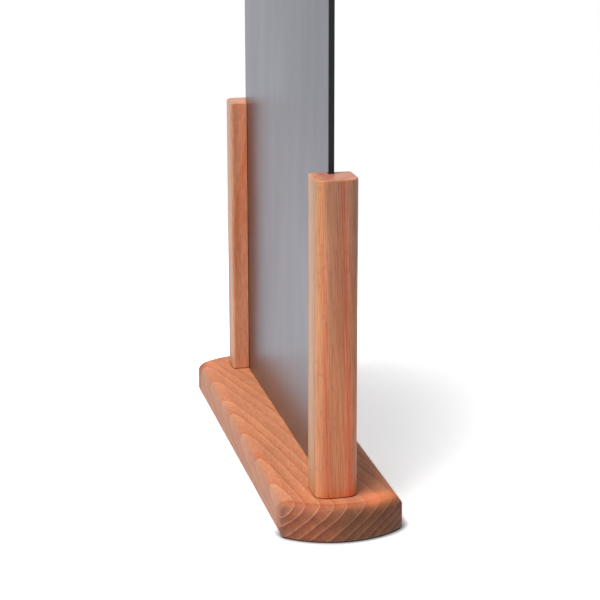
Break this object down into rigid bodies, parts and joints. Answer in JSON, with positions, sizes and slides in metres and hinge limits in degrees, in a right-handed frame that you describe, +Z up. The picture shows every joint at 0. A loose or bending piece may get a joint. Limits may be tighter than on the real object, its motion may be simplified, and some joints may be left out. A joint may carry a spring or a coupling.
{
  "type": "tabletop chalkboard",
  "caption": "Upright black writing board that stands loose in the grooves of two wooden uprights on a bowed base plank.",
  "frame": {"origin": "middle of the base's underside, on the surface that it stands on", "axes": "+Z up, +X along the base to the right, the front of the board faces -Y"},
  "size_m": [0.2694, 0.062, 0.315],
  "materials": {
    "beech": "sanded and clear-lacquered beech",
    "chalkboard": "satin black writing lacquer on a hard sheet",
    "screw_steel": "zinc plated"
  },
  "bodies": {
    "stand": {"base": "beech", "left_upright": "beech", "right_upright": "beech", "left_screw": "screw_steel", "right_screw": "screw_steel", "left_dowel": "beech", "right_dowel": "beech"},
    "writing_board": {"board": "chalkboard"}
  },
  "joints": [
    {"name": "board_lift", "type": "slide", "parent": "stand", "child": "writing_board", "axis": [0, 0, 1], "range_m": [0, 0.165]}
  ]
}
